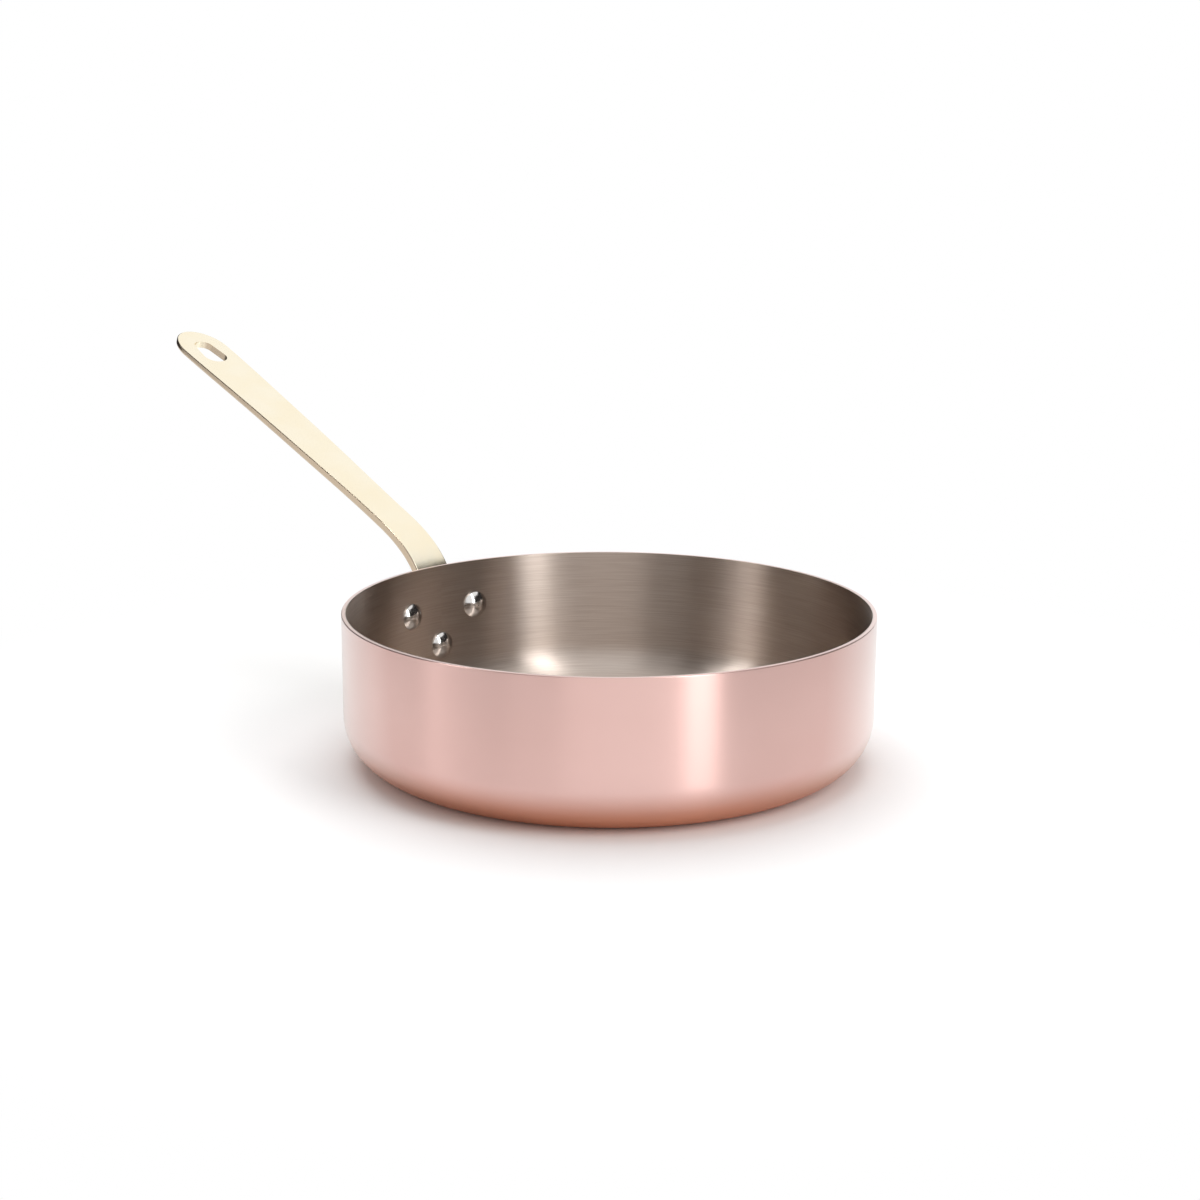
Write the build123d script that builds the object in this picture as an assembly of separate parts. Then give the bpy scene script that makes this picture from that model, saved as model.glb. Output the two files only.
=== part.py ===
from build123d import *
import os
from math import cos, sin, radians, degrees, asin

# Units are millimetres. +Z is up, the origin is the centre of the base underside,
# and the handle points along -X.

# Pan body
outer_diameter = 240.0
body_height = 69.2
copper_thickness = 1.7
lining_thickness = 0.3
base_corner_radius = 22.8
rim_outer_round = 0.45

# Rivets
rivet_shank_diameter = 6.5
rivet_upper_half_spacing = 20.3
rivet_upper_drop = 22.3
rivet_lower_drop = 40.0
inner_head_diameter = 12.8
inner_head_height = 3.4
outer_head_diameter = 11.5
outer_head_height = 2.4
head_skirt = 0.7

# Riveting flange of the handle
flange_thickness = 3.6
flange_lobe_radius = 9.5
flange_edge_round = 1.0

# Handle strap
rib_thickness = 5.2
rib_end_drop = 31.0
neck_half_width = 9.6
neck_straight = 6.0
bend_start_drop = 16.0
bend_reach = 33.5
bend_rise = 19.4
bend_lower_pull = 15.0
bend_upper_pull = 22.0
under_pull_share = 0.86
run_start_thickness = 4.7
run_end_thickness = 3.6
run_length = 196.0
run_chord_angle = 23.3
run_crown = 0.95
first_width_station = 60.0
first_station_half_width = 10.9
second_width_station = 120.0
second_station_half_width = 12.4
end_half_width = 13.7
nose_length = 19.4
underside_round = 1.6
top_edge_round = 0.5
root_blend = 3.0

# Hanging slot
slot_inner_radius = 6.4
slot_outer_radius = 5.2
slot_inner_centre = 167.0
slot_outer_centre = 178.4

# Cutting bodies reach this far past the metal
cut_margin = 60.0
tip_overrun = 6.0

# Face and edge picking
aligned_share = 0.98
facing_share = 0.3
touching = 0.01

outer_radius = outer_diameter / 2
wall_thickness = copper_thickness + lining_thickness
inner_radius = outer_radius - wall_thickness

os.makedirs("parts", exist_ok=True)


def body_block(depth, top):
    """Solid of revolution lying the given depth inside the outer surface."""
    radius = outer_radius - depth
    corner = base_corner_radius - depth
    with BuildPart() as block:
        with BuildSketch(Plane.XZ):
            with BuildLine():
                Line((0, depth), (radius - corner, depth))
                TangentArc((radius - corner, depth), (radius, base_corner_radius), tangent=(1, 0))
                Line((radius, base_corner_radius), (radius, top))
                Line((radius, top), (0, top))
                Line((0, top), (0, depth))
            make_face()
        revolve(axis=Axis.Z)
    return block.part


rivet_upper_angle = degrees(asin(rivet_upper_half_spacing / outer_radius))
rivet_places = [
    (rivet_upper_angle, body_height - rivet_upper_drop),
    (-rivet_upper_angle, body_height - rivet_upper_drop),
    (0, body_height - rivet_lower_drop),
]


def rivet_plane(angle, height):
    """Plane on the inner wall whose normal points straight out through the wall."""
    turn = radians(angle)
    outward = (-cos(turn), sin(turn), 0)
    origin = (inner_radius * outward[0], inner_radius * outward[1], height)
    return Plane(origin=origin, x_dir=(0, 0, 1), z_dir=outward)


def shank(angle, height, start, length):
    """Round bar along a rivet axis, from start past the inner wall."""
    bar = Cylinder(rivet_shank_diameter / 2, length, align=(Align.CENTER, Align.CENTER, Align.MIN))
    return rivet_plane(angle, height) * Pos(0, 0, start) * bar


rivet_bores = [shank(a, h, -cut_margin / 2, cut_margin) for a, h in rivet_places]

# Copper shell and its stainless lining
copper_shell = body_block(0, body_height)
outer_rim_edge = copper_shell.edges().filter_by(GeomType.CIRCLE).sort_by(Axis.Z)[-1]
copper_shell = fillet(outer_rim_edge, rim_outer_round)
copper_shell -= body_block(copper_thickness, body_height + cut_margin)
steel_lining = body_block(copper_thickness, body_height)
steel_lining -= body_block(wall_thickness, body_height + cut_margin)
for bore in rivet_bores:
    copper_shell -= bore
    steel_lining -= bore


def side_point(reach, rise):
    """Point in the mirror plane, out from the wall and up from the rim."""
    return (-(outer_radius + reach), body_height + rise)


chord = radians(run_chord_angle)
run_radius = run_length * run_length / run_crown / 8
run_half_turn = asin(run_length / 2 / run_radius)
start_slope = chord + run_half_turn
taper = (run_start_thickness - run_end_thickness) / run_length
under_slope = start_slope + taper
run_turn = degrees(2 * run_half_turn) * (run_length + tip_overrun) / run_length
under_start = (
    bend_reach + run_start_thickness * sin(start_slope),
    bend_rise - run_start_thickness * cos(start_slope),
)

# Strap of the handle: side outline, then its outline seen square to the run
with BuildPart() as strap_build:
    with BuildSketch(Plane.XZ.offset(-end_half_width * 2)):
        with BuildLine():
            Line(side_point(0, -rib_end_drop), side_point(0, -bend_start_drop))
            Bezier(
                side_point(0, -bend_start_drop),
                side_point(0, bend_lower_pull - bend_start_drop),
                side_point(
                    bend_reach - bend_upper_pull * cos(start_slope),
                    bend_rise - bend_upper_pull * sin(start_slope),
                ),
                side_point(bend_reach, bend_rise),
            )
            top_run = JernArc(
                start=side_point(bend_reach, bend_rise),
                tangent=(-cos(start_slope), sin(start_slope)),
                radius=run_radius,
                arc_size=run_turn,
            )
            under_run = JernArc(
                start=side_point(*under_start),
                tangent=(-cos(under_slope), sin(under_slope)),
                radius=run_radius,
                arc_size=run_turn,
            )
            Line(top_run @ 1, under_run @ 1)
            Bezier(
                side_point(*under_start),
                side_point(
                    under_start[0] - bend_upper_pull * under_pull_share * cos(under_slope),
                    under_start[1] - bend_upper_pull * under_pull_share * sin(under_slope),
                ),
                side_point(rib_thickness, bend_lower_pull * under_pull_share - bend_start_drop),
                side_point(rib_thickness, -bend_start_drop),
            )
            Line(side_point(rib_thickness, -bend_start_drop), side_point(rib_thickness, -rib_end_drop))
            Line(side_point(rib_thickness, -rib_end_drop), side_point(0, -rib_end_drop))
        make_face()
    extrude(amount=end_half_width * 2 * 2)

run_origin = side_point(bend_reach, bend_rise)
run_plane = Plane(
    origin=(run_origin[0], 0, run_origin[1]),
    x_dir=(-cos(chord), 0, sin(chord)),
    z_dir=(sin(chord), 0, cos(chord)),
)
nose_start = run_length - nose_length
with BuildPart() as outline_build:
    with BuildSketch(run_plane.offset(-cut_margin)):
        with BuildLine():
            near_side = [
                Line((-cut_margin - bend_reach, neck_half_width), (neck_straight, neck_half_width)),
                Spline(
                    (neck_straight, neck_half_width),
                    (first_width_station, first_station_half_width),
                    (second_width_station, second_station_half_width),
                    (nose_start, end_half_width),
                    tangents=[(1, 0), (1, 0)],
                ),
                EllipticalCenterArc((nose_start, 0), nose_length, end_half_width),
            ]
            mirror(near_side, about=Plane.XZ)
            Line((-cut_margin - bend_reach, neck_half_width), (-cut_margin - bend_reach, -neck_half_width))
        make_face()
    extrude(amount=cut_margin + cut_margin)
strap = strap_build.part & outline_build.part

# The rib ends in a half round just above the lower rivet
rib_end_height = body_height - rib_end_drop + neck_half_width
above_rib_end = Pos(-outer_radius, 0, rib_end_height) * Box(
    2 * run_length + outer_diameter,
    outer_radius,
    outer_diameter,
    align=(Align.CENTER, Align.CENTER, Align.MIN),
)
rib_end = Pos(-outer_radius, 0, rib_end_height) * Rot(0, 90, 0) * Cylinder(neck_half_width, cut_margin)
strap = strap & (above_rib_end + rib_end)


def outline_edges(faces):
    """Edges of the faces that run along the strap, not across it."""
    along = []
    for face in faces:
        for edge in face.edges():
            if edge.geom_type != GeomType.LINE or abs(edge.tangent_at(0.5).Y) < aligned_share:
                along.append(edge)
    return along


def facing(solid, sign):
    """Faces without sideways tilt that look toward the pan (1) or away from it (-1)."""
    found = []
    for face in solid.faces():
        normal = face.normal_at()
        if abs(normal.Y) < 1 - aligned_share and normal.X * sign > facing_share:
            found.append(face)
    return found


strap = fillet(outline_edges(facing(strap, -1)), underside_round)
strap = fillet(outline_edges(facing(strap, 1)), top_edge_round)

# Curved riveting flange around the three rivets
flange_radius = outer_radius + flange_thickness
flange_top = body_height - rivet_upper_drop + flange_lobe_radius
with BuildPart() as flange_build:
    with BuildSketch(Plane.YZ.offset(-outer_radius - cut_margin)):
        for angle, height in rivet_places:
            with Locations((outer_radius * sin(radians(angle)), height)):
                Circle(flange_lobe_radius)
        make_hull()
    extrude(amount=cut_margin + cut_margin)
ring_outside = Cylinder(flange_radius, body_height, align=(Align.CENTER, Align.CENTER, Align.MIN))
ring_inside = Cylinder(outer_radius, body_height, align=(Align.CENTER, Align.CENTER, Align.MIN))
flange = flange_build.part & (ring_outside - ring_inside)
flange_front = flange.faces().filter_by(GeomType.CYLINDER).sort_by(Axis.X)[0]
flange = fillet(flange_front.edges(), flange_edge_round)
handle = flange + strap

# Blend the inside corners where the strap leaves the top of the flange
root_corners = []
for edge in handle.edges().filter_by(GeomType.LINE):
    ends = (edge @ 0, edge @ 1)
    beside_strap = all(abs(abs(end.Y) - neck_half_width) < touching for end in ends)
    if beside_strap and all(abs(end.Z - flange_top) < touching for end in ends):
        root_corners.append(edge)
handle = fillet(root_corners, root_blend)

# Hanging slot, an egg shape with its blunt end toward the pan
with BuildPart() as slot_build:
    with BuildSketch(run_plane.offset(-cut_margin)):
        with Locations((slot_inner_centre, 0)):
            Circle(slot_inner_radius)
        with Locations((slot_outer_centre, 0)):
            Circle(slot_outer_radius)
        make_hull()
    extrude(amount=cut_margin + cut_margin)
handle -= slot_build.part
for bore in rivet_bores:
    handle -= bore


grip = wall_thickness + flange_thickness
grip_middle = wall_thickness + flange_thickness / 2
gripped_ring = ring_outside - body_block(wall_thickness, body_height + cut_margin)
with BuildPart() as head_build:
    with BuildSketch(Plane.XZ):
        with BuildLine():
            inner_side = inner_head_diameter / 2
            outer_side = outer_head_diameter / 2
            TangentArc((0, -inner_head_height), (inner_side, -head_skirt), tangent=(1, 0))
            Line((inner_side, -head_skirt), (inner_side, grip_middle))
            Line((inner_side, grip_middle), (outer_side, grip_middle))
            Line((outer_side, grip_middle), (outer_side, grip + head_skirt))
            TangentArc((0, grip + outer_head_height), (outer_side, grip + head_skirt), tangent=(1, 0))
            Line((0, grip + outer_head_height), (0, -inner_head_height))
        make_face()
    revolve(axis=Axis.Z)


def rivet(angle, height):
    """Domed head in the pan, shank through all layers, formed head on the flange."""
    heads = rivet_plane(angle, height) * head_build.part - gripped_ring
    return heads + shank(angle, height, -head_skirt, grip + head_skirt + head_skirt)


rivets = Compound(children=[rivet(angle, height) for angle, height in rivet_places])

for name, shape in (
    ("copper_shell", copper_shell),
    ("steel_lining", steel_lining),
    ("handle", handle),
    ("rivets", rivets),
):
    print(name, shape.is_valid, round(shape.volume), len(shape.solids()))
    export_step(shape, "parts/" + name + ".step")
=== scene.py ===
import bpy
from math import cos, pi, radians, sin
from mathutils import Matrix, Vector


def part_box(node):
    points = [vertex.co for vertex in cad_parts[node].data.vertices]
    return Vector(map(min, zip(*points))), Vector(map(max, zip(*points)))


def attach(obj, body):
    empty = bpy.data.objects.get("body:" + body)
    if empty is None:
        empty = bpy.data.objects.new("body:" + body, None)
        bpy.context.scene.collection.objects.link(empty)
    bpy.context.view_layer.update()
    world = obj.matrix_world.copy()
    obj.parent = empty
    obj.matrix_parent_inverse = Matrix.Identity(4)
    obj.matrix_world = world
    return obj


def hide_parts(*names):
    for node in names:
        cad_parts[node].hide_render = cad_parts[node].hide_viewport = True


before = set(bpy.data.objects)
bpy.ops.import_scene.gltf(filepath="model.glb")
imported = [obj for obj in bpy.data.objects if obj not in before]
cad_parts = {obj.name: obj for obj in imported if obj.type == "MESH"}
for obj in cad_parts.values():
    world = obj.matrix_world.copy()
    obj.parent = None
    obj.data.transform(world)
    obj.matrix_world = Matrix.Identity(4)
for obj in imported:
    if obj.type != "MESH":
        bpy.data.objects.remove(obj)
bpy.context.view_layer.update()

# Sizes in metres, from the frame's boxes where it has them
MM = 0.001
shell_low, shell_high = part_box("copper_shell")
lining_low, lining_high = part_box("steel_lining")
outer_radius = shell_high[0]
rim_height = shell_high[2]
copper_thickness = lining_low[2]
lining_thickness = 0.3 * MM
base_corner_radius = 22.8 * MM
rim_round = 0.45 * MM
layer_clearance = 0.02 * MM
lathe_segments = 320
# Heights over the base between which the copper's base corner gets painted shade, a darker orange
painted_shade_edge_top = 22.0 * MM
painted_shade_edge_low = 3.0 * MM
arc_steps = 24

# Camera, fitted to the rim, base and wall of the pan
camera_distance_back = 935.23 * MM
camera_side = -4.10 * MM
camera_height_over_rim = 225.40 * MM
camera_elevation = radians(13.36)
camera_roll = radians(-0.289)
camera_azimuth = radians(45.95)
focal_pixels = 2134.0
image_pixels = 1200.0
sensor_width = 36.0

# Light: soft surroundings, and a floor that fades to white between two radii in metres
ambient_strength = 0.60
floor_fade_start = 0.16
floor_fade_end = 0.40
floor_half = 6.0

# Cards that only reflections see, as name, start and end angle, glow, low edge and top edge.
# 0 degrees is the camera's right and -90 its own side. Heights are in metres.
card_distance = 1.5
card_low = 0.002
card_high = 3.0
card_step = 3.0
pale_card_glow = 0.3
dark_card_tint = (1, 0.86, 0.82, 1)
surroundings = (
    ("right_dark", 55, -46, 0.03, card_low, 1.5),
    ("strip_light", -47, -60, 4.6, card_low, card_high),
    ("front_grey", -61, -108, 0.95, card_low, card_high),
    ("front_dim", -108, -130, 0.45, card_low, card_high),
    ("front_left_dark", -130, -159, 0.05, card_low, card_high),
    ("left_strip", -159, -168, 8.0, 0.75, 2.4),
    ("left_dark", -168, -196, 0.03, card_low, card_high),
    ("left_grey", -196, -206, 0.45, card_low, card_high),
    ("back_left_dark", -206, -250, 0.03, card_low, 2.0),
)

# Lamps, as name, angle, distance, height, width, length and watts
lamps = (
    ("overhead", 100, 0.9, 2.2, 2.4, 2.4, 38),
    ("key_right", -35, 1.8, 1.2, 1.0, 1.6, 16),
)

# Colours that blend over the base colours of the metals: a painted sheen on the copper's grazing
# edges, painted shade on the copper's base corner and painted shade on the handle's sides
painted_sheen_copper = (0.90, 0.78, 0.74)
painted_shade_copper = (0.66, 0.28, 0.16)
painted_shade_brass = (0.62, 0.50, 0.37)


def node_material(name, colour, roughness, metallic=1.0):
    """Material with one Principled shader, and its node tree."""
    material = bpy.data.materials.new(name)
    material.use_nodes = True
    shader = material.node_tree.nodes["Principled BSDF"]
    shader.inputs["Base Color"].default_value = (*colour, 1)
    shader.inputs["Roughness"].default_value = roughness
    shader.inputs["Metallic"].default_value = metallic
    return material, shader, material.node_tree


def turned_coordinates(tree, across, around):
    """Coordinates that run in circles round the pan: radius, height and angle."""
    nodes, links = tree.nodes, tree.links
    place = nodes.new("ShaderNodeTexCoord")
    parts = nodes.new("ShaderNodeSeparateXYZ")
    links.new(place.outputs["Object"], parts.inputs[0])

    def maths(operation, first, second=None):
        step = nodes.new("ShaderNodeMath")
        step.operation = operation
        for socket, value in zip(step.inputs, (first, second)):
            if isinstance(value, (int, float)):
                socket.default_value = value
            elif value is not None:
                links.new(value, socket)
        return step.outputs[0]

    x, y, z = parts.outputs
    squares = maths("ADD", maths("MULTIPLY", x, x), maths("MULTIPLY", y, y))
    radius = maths("SQRT", squares)
    angle = maths("ARCTAN2", y, x)
    joined = nodes.new("ShaderNodeCombineXYZ")
    links.new(maths("MULTIPLY", radius, across), joined.inputs[0])
    links.new(maths("MULTIPLY", z, across), joined.inputs[1])
    links.new(maths("MULTIPLY", angle, around), joined.inputs[2])
    return joined.outputs[0]


def noise(tree, vector, scale, detail):
    texture = tree.nodes.new("ShaderNodeTexNoise")
    texture.inputs["Scale"].default_value = scale
    texture.inputs["Detail"].default_value = detail
    tree.links.new(vector, texture.inputs["Vector"])
    return texture.outputs[0]


def ramp(tree, value, stops):
    """Map a value through colour stops given as (position, colour)."""
    node = tree.nodes.new("ShaderNodeValToRGB")
    first, last = node.color_ramp.elements
    first.position, first.color = stops[0][0], (*stops[0][1], 1)
    last.position, last.color = stops[-1][0], (*stops[-1][1], 1)
    for position, colour in stops[1:-1]:
        node.color_ramp.elements.new(position).color = (*colour, 1)
    tree.links.new(value, node.inputs[0])
    return node.outputs[0]


def to_range(tree, value, low, high):
    node = tree.nodes.new("ShaderNodeMapRange")
    node.inputs["From Min"].default_value = 0.3
    node.inputs["From Max"].default_value = 0.7
    node.inputs["To Min"].default_value = low
    node.inputs["To Max"].default_value = high
    tree.links.new(value, node.inputs[0])
    return node.outputs[0]


def bump(tree, shader, height, strength, distance):
    node = tree.nodes.new("ShaderNodeBump")
    node.inputs["Strength"].default_value = strength
    node.inputs["Distance"].default_value = distance
    tree.links.new(height, node.inputs["Height"])
    tree.links.new(node.outputs[0], shader.inputs["Normal"])


def brushed_round(tree, shader, anisotropy):
    """Stretch highlights across the brush lines that circle the pan."""
    tangent = tree.nodes.new("ShaderNodeTangent")
    tangent.direction_type = "RADIAL"
    tangent.axis = "Z"
    tree.links.new(tangent.outputs[0], shader.inputs["Tangent"])
    shader.inputs["Anisotropic"].default_value = anisotropy
    shader.inputs["Anisotropic Rotation"].default_value = 0.25


def height_share(tree, low, high):
    """Goes from 0 at one height over the base to 1 at another."""
    place = tree.nodes.new("ShaderNodeTexCoord")
    parts = tree.nodes.new("ShaderNodeSeparateXYZ")
    tree.links.new(place.outputs["Object"], parts.inputs[0])
    node = tree.nodes.new("ShaderNodeMapRange")
    node.interpolation_type = "SMOOTHSTEP"
    node.inputs["From Min"].default_value = low
    node.inputs["From Max"].default_value = high
    tree.links.new(parts.outputs["Z"], node.inputs[0])
    return node.outputs[0]


def side_share(tree, start, end):
    """Goes from 0 to 1 where a surface turns to face along the Y axis."""
    place = tree.nodes.new("ShaderNodeTexCoord")
    parts = tree.nodes.new("ShaderNodeSeparateXYZ")
    tree.links.new(place.outputs["Normal"], parts.inputs[0])
    size = tree.nodes.new("ShaderNodeMath")
    size.operation = "ABSOLUTE"
    tree.links.new(parts.outputs["Y"], size.inputs[0])
    node = tree.nodes.new("ShaderNodeMapRange")
    node.inputs["From Min"].default_value = start
    node.inputs["From Max"].default_value = end
    tree.links.new(size.outputs[0], node.inputs[0])
    return node.outputs[0]


def grazing_share(tree):
    """Goes from 0 to 1 where a surface turns away from the eye."""
    facing = tree.nodes.new("ShaderNodeLayerWeight")
    facing.inputs["Blend"].default_value = 0.5
    node = tree.nodes.new("ShaderNodeMapRange")
    node.inputs["From Min"].default_value = 0.45
    node.inputs["From Max"].default_value = 0.95
    tree.links.new(facing.outputs["Facing"], node.inputs[0])
    return node.outputs[0]


def blend_colours(tree, share, first, second):
    """Mix a colour output toward a fixed colour."""
    node = tree.nodes.new("ShaderNodeMix")
    node.data_type = "RGBA"
    tree.links.new(share, node.inputs[0])
    tree.links.new(first, node.inputs[6])
    node.inputs[7].default_value = (*second, 1)
    return node.outputs[2]


def copper_material():
    material, shader, tree = node_material("copper", (0.95, 0.64, 0.56), 0.30)
    lines = noise(tree, turned_coordinates(tree, 2600.0, 6.0), 1.0, 3.0)
    patches = noise(tree, turned_coordinates(tree, 18.0, 1.5), 1.0, 2.0)
    colour = ramp(tree, patches, (
        (0.30, (0.76, 0.50, 0.455)),
        (0.50, (0.78, 0.52, 0.475)),
        (0.72, (0.80, 0.54, 0.495)),
    ))
    # Painted sheen: the copper turns paler where its surface turns away from the eye
    colour = blend_colours(tree, grazing_share(tree), colour, painted_sheen_copper)
    # Painted shade: the copper turns darker orange towards its base corner, where the floor's shadow
    # shows in it
    painted_shade_edge = height_share(tree, painted_shade_edge_top, painted_shade_edge_low)
    colour = blend_colours(tree, painted_shade_edge, colour, painted_shade_copper)
    tree.links.new(colour, shader.inputs["Base Color"])
    tree.links.new(to_range(tree, lines, 0.28, 0.32), shader.inputs["Roughness"])
    bump(tree, shader, lines, 0.03, 0.00005)
    brushed_round(tree, shader, 0.9)
    return material


def lining_material():
    material, shader, tree = node_material("lining", (0.60, 0.57, 0.54), 0.34)
    lines = noise(tree, turned_coordinates(tree, 2600.0, 5.0), 1.0, 3.0)
    colour = ramp(tree, lines, (
        (0.30, (0.55, 0.465, 0.41)),
        (0.70, (0.66, 0.58, 0.52)),
    ))
    tree.links.new(colour, shader.inputs["Base Color"])
    tree.links.new(to_range(tree, lines, 0.30, 0.38), shader.inputs["Roughness"])
    bump(tree, shader, lines, 0.06, 0.00005)
    brushed_round(tree, shader, 0.95)
    return material


def handle_material():
    material, shader, tree = node_material("handle", (0.96, 0.86, 0.64), 0.22)
    place = tree.nodes.new("ShaderNodeTexCoord").outputs["Object"]
    mottle = noise(tree, place, 60.0, 4.0)
    grain = noise(tree, place, 900.0, 2.0)
    colour = ramp(tree, mottle, (
        (0.32, (0.98, 0.88, 0.67)),
        (0.68, (0.99, 0.91, 0.73)),
    ))
    # Painted shade: the handle's sides, where they face along the Y axis, turn darker brown
    colour = blend_colours(tree, side_share(tree, 0.35, 0.85), colour, painted_shade_brass)
    tree.links.new(colour, shader.inputs["Base Color"])
    tree.links.new(to_range(tree, mottle, 0.18, 0.24), shader.inputs["Roughness"])
    bump(tree, shader, grain, 0.02, 0.00002)
    return material


def rivet_material():
    material, shader, tree = node_material("rivets", (0.76, 0.74, 0.72), 0.14)
    place = tree.nodes.new("ShaderNodeTexCoord").outputs["Object"]
    scuffs = noise(tree, place, 700.0, 3.0)
    tree.links.new(to_range(tree, scuffs, 0.10, 0.22), shader.inputs["Roughness"])
    bump(tree, shader, scuffs, 0.05, 0.00004)
    return material


def arc(centre, radius, start, end):
    """Points of an arc in the profile plane, angles in degrees."""
    points = []
    for step in range(arc_steps + 1):
        turn = radians(start + (end - start) * step / arc_steps)
        points.append((centre[0] + radius * cos(turn), centre[1] + radius * sin(turn)))
    return points


def layer_profile(outside, inside, edge_round):
    """Closed half section of a pan layer between two depths under the surface."""
    flat = outer_radius - base_corner_radius
    centre = (flat, base_corner_radius)
    points = [(0, outside)]
    points += arc(centre, base_corner_radius - outside, -90, 0)
    rim_centre = (outer_radius - outside - edge_round, rim_height - edge_round)
    if edge_round > 0:
        points += arc(rim_centre, edge_round, 0, 90)
    else:
        points.append((outer_radius - outside, rim_height))
    points.append((outer_radius - inside, rim_height))
    points += arc(centre, base_corner_radius - inside, 0, -90)
    points.append((0, inside))
    return points


def lathe(name, profile, material):
    """Turn a half section round the Z axis into a smooth closed mesh."""
    rings = [point for point in profile if point[0] > 0]
    vertices, faces = [], []
    for segment in range(lathe_segments):
        turn = 2 * pi * segment / lathe_segments
        vertices += [(r * cos(turn), r * sin(turn), z) for r, z in rings]
    count = len(rings)
    for segment in range(lathe_segments):
        here, after = segment * count, (segment + 1) % lathe_segments * count
        for ring in range(count - 1):
            faces.append((here + ring, after + ring, after + ring + 1, here + ring + 1))
    for ring, height in ((0, profile[0][1]), (count - 1, profile[-1][1])):
        pole = len(vertices)
        vertices.append((0, 0, height))
        for segment in range(lathe_segments):
            pair = (segment * count + ring, (segment + 1) % lathe_segments * count + ring)
            faces.append((pole, *pair[::-1]) if ring == 0 else (pole, *pair))
    mesh = bpy.data.meshes.new(name)
    mesh.from_pydata(vertices, [], faces)
    mesh.polygons.foreach_set("use_smooth", [True] * len(mesh.polygons))
    mesh.set_sharp_from_angle(angle=radians(35))
    mesh.materials.append(material)
    piece = bpy.data.objects.new(name, mesh)
    bpy.context.scene.collection.objects.link(piece)
    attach(piece, "root")
    return piece


def dress_pan():
    copper_profile = layer_profile(0, copper_thickness, rim_round)
    copper = lathe("copper_body", copper_profile, copper_material())
    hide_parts("copper_shell")
    inside = copper_thickness + lining_thickness
    lining_profile = layer_profile(copper_thickness + layer_clearance, inside, 0)
    lining = lathe("lining_surface", lining_profile, lining_material())
    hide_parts("steel_lining")


def dress_node(node, material):
    piece = bpy.data.objects[node]
    for slot in piece.material_slots:
        slot.material = material


def floor_material():
    """Matt white that fades to the white background away from the pan."""
    material, shader, tree = node_material("floor", (0.93, 0.93, 0.93), 0.9, 0.0)
    shader.inputs["Specular IOR Level"].default_value = 0.0
    nodes, links = tree.nodes, tree.links
    place = nodes.new("ShaderNodeTexCoord").outputs["Object"]
    reach = nodes.new("ShaderNodeVectorMath")
    reach.operation = "LENGTH"
    links.new(place, reach.inputs[0])
    fade = nodes.new("ShaderNodeMapRange")
    fade.interpolation_type = "SMOOTHSTEP"
    fade.inputs["From Min"].default_value = floor_fade_start
    fade.inputs["From Max"].default_value = floor_fade_end
    links.new(reach.outputs["Value"], fade.inputs[0])
    path = nodes.new("ShaderNodeLightPath")
    seen = nodes.new("ShaderNodeMath")
    seen.operation = "MAXIMUM"
    links.new(path.outputs["Is Camera Ray"], seen.inputs[0])
    links.new(path.outputs["Is Glossy Ray"], seen.inputs[1])
    any_ray = nodes.new("ShaderNodeMath")
    any_ray.operation = "MAXIMUM"
    links.new(seen.outputs[0], any_ray.inputs[0])
    links.new(path.outputs["Is Transmission Ray"], any_ray.inputs[1])
    amount = nodes.new("ShaderNodeMath")
    amount.operation = "MULTIPLY"
    links.new(any_ray.outputs[0], amount.inputs[0])
    links.new(fade.outputs[0], amount.inputs[1])
    white = nodes.new("ShaderNodeEmission")
    mix = nodes.new("ShaderNodeMixShader")
    links.new(amount.outputs[0], mix.inputs[0])
    links.new(shader.outputs[0], mix.inputs[1])
    links.new(white.outputs[0], mix.inputs[2])
    links.new(mix.outputs[0], nodes["Material Output"].inputs["Surface"])
    return material


def stage_floor():
    mesh = bpy.data.meshes.new("floor")
    signs = ((-1, -1), (1, -1), (1, 1), (-1, 1))
    corners = [(x * floor_half, y * floor_half, 0) for x, y in signs]
    mesh.from_pydata(corners, [], [(0, 1, 2, 3)])
    mesh.materials.append(floor_material())
    floor = bpy.data.objects.new("floor", mesh)
    bpy.context.scene.collection.objects.link(floor)


def around(azimuth, distance, height):
    """Point at an angle from the camera's right, in degrees, as seen from above."""
    turn = radians(azimuth) + camera_azimuth
    return Vector((distance * cos(turn), distance * sin(turn), height))


def card_material(name, strength):
    """Plain card that glows a little or a lot, a shade warm when it is dark."""
    material = bpy.data.materials.new(name)
    material.use_nodes = True
    nodes, links = material.node_tree.nodes, material.node_tree.links
    glow = nodes.new("ShaderNodeEmission")
    glow.inputs["Color"].default_value = (1, 1, 1, 1) if strength > pale_card_glow else dark_card_tint
    glow.inputs["Strength"].default_value = strength
    links.new(glow.outputs[0], nodes["Material Output"].inputs["Surface"])
    return material


def card(name, start, end, strength, low, top):
    """Curved card around the pan, between two angles in degrees."""
    steps = max(2, int(abs(end - start) / card_step))
    vertices, faces = [], []
    for step in range(steps + 1):
        azimuth = start + (end - start) * step / steps
        vertices.append(around(azimuth, card_distance, low))
        vertices.append(around(azimuth, card_distance, top))
    for step in range(steps):
        first = 2 * step
        faces.append((first, first + 2, first + 3, first + 1))
    mesh = bpy.data.meshes.new(name)
    mesh.from_pydata(vertices, [], faces)
    mesh.materials.append(card_material(name, strength))
    holder = bpy.data.objects.new(name, mesh)
    holder.visible_camera = False
    holder.visible_shadow = False
    holder.visible_diffuse = False
    bpy.context.scene.collection.objects.link(holder)


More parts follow.
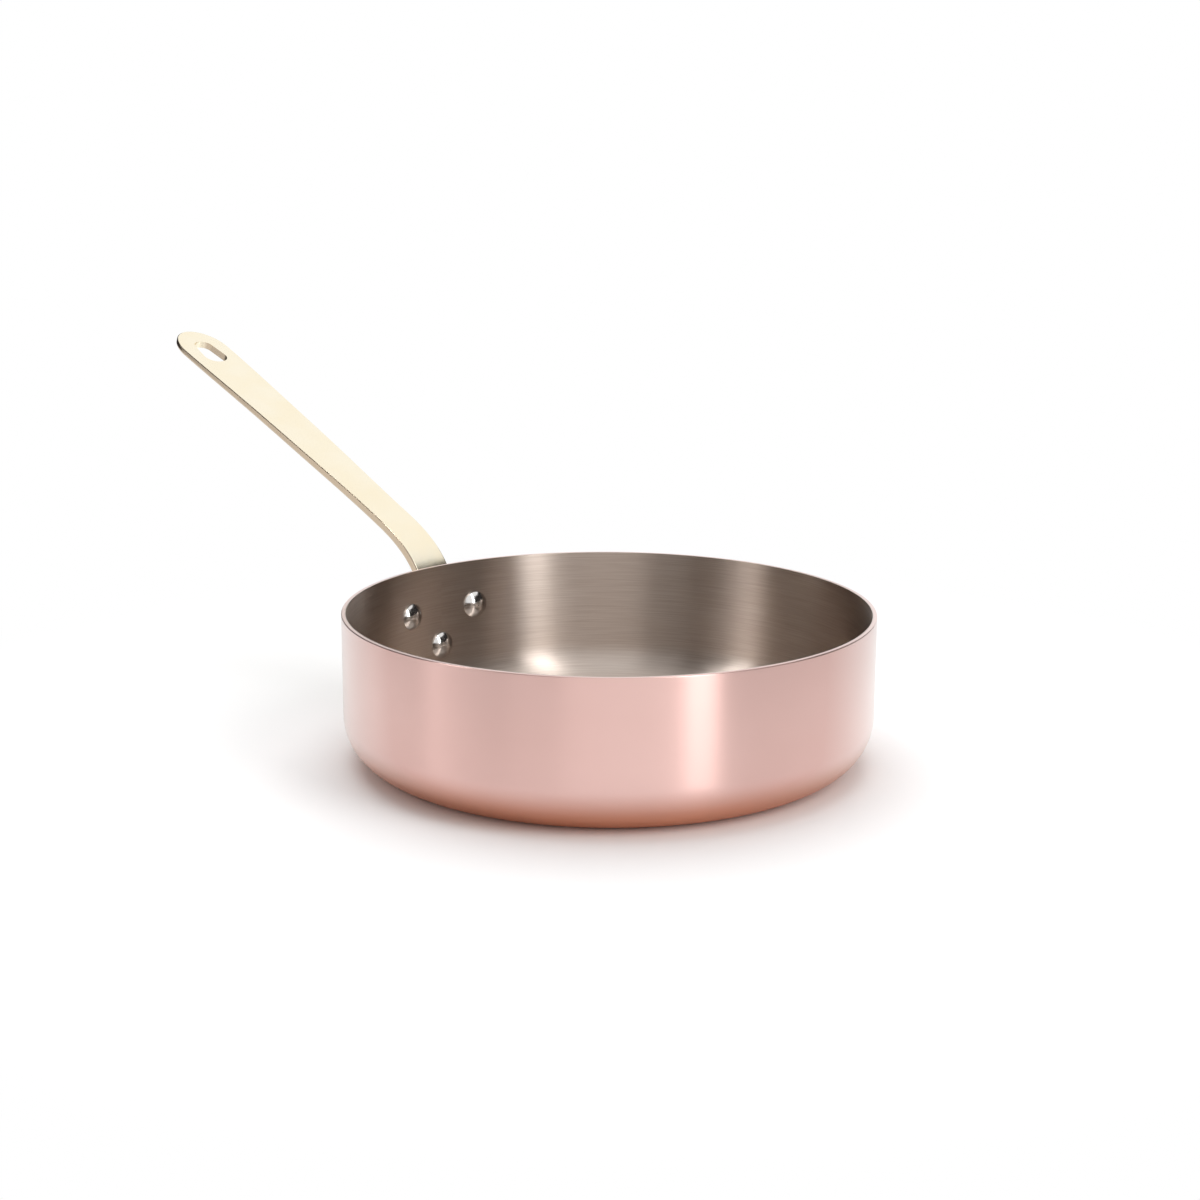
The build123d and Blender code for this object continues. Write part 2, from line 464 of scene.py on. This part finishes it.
def softbox(name, azimuth, distance, height, width, tall, power):
    lamp = bpy.data.lights.new(name, "AREA")
    lamp.shape = "RECTANGLE"
    lamp.size, lamp.size_y = width, tall
    lamp.energy = power
    holder = bpy.data.objects.new(name, lamp)
    holder.visible_glossy = False
    holder.location = around(azimuth, distance, height)
    aim = Vector((0, 0, rim_height)) - holder.location
    holder.rotation_euler = aim.to_track_quat("-Z", "Y").to_euler()
    bpy.context.scene.collection.objects.link(holder)


def world_light():
    """Soft white surroundings, white to the camera and in reflections."""
    world = bpy.data.worlds.new("studio")
    bpy.context.scene.world = world
    world.use_nodes = True
    nodes, links = world.node_tree.nodes, world.node_tree.links
    back = nodes["Background"]
    path = nodes.new("ShaderNodeLightPath")
    seen = nodes.new("ShaderNodeMath")
    seen.operation = "MAXIMUM"
    links.new(path.outputs["Is Camera Ray"], seen.inputs[0])
    links.new(path.outputs["Is Transmission Ray"], seen.inputs[1])
    either = nodes.new("ShaderNodeMath")
    either.operation = "MAXIMUM"
    links.new(seen.outputs[0], either.inputs[0])
    links.new(path.outputs["Is Glossy Ray"], either.inputs[1])
    strength = nodes.new("ShaderNodeMapRange")
    strength.inputs["To Min"].default_value = ambient_strength
    strength.inputs["To Max"].default_value = 1.0
    links.new(either.outputs[0], strength.inputs[0])
    back.inputs["Color"].default_value = (1, 1, 1, 1)
    links.new(strength.outputs[0], back.inputs["Strength"])


def photo_camera():
    data = bpy.data.cameras.new("camera")
    data.sensor_width = sensor_width
    data.lens = sensor_width * focal_pixels / image_pixels
    camera = bpy.data.objects.new("camera", data)
    right = Vector((1, 0, 0))
    forward = Vector((0, cos(camera_elevation), -sin(camera_elevation)))
    up = Vector((0, sin(camera_elevation), cos(camera_elevation)))
    right_rolled = right * cos(camera_roll) - up * sin(camera_roll)
    up_rolled = right * sin(camera_roll) + up * cos(camera_roll)
    turn = Matrix.Rotation(camera_azimuth, 3, "Z")
    axes = Matrix((turn @ right_rolled, turn @ up_rolled, turn @ -forward)).transposed()
    height = camera_height_over_rim + rim_height
    place = turn @ Vector((camera_side, -camera_distance_back, height))
    camera.matrix_world = Matrix.Translation(place) @ axes.to_4x4()
    bpy.context.scene.collection.objects.link(camera)
    bpy.context.scene.camera = camera


dress_pan()
dress_node("handle", handle_material())
dress_node("rivets", rivet_material())
stage_floor()
world_light()
for surrounding in surroundings:
    card(*surrounding)
for lamp in lamps:
    softbox(*lamp)
photo_camera()
bpy.context.scene.view_settings.view_transform = "Standard"
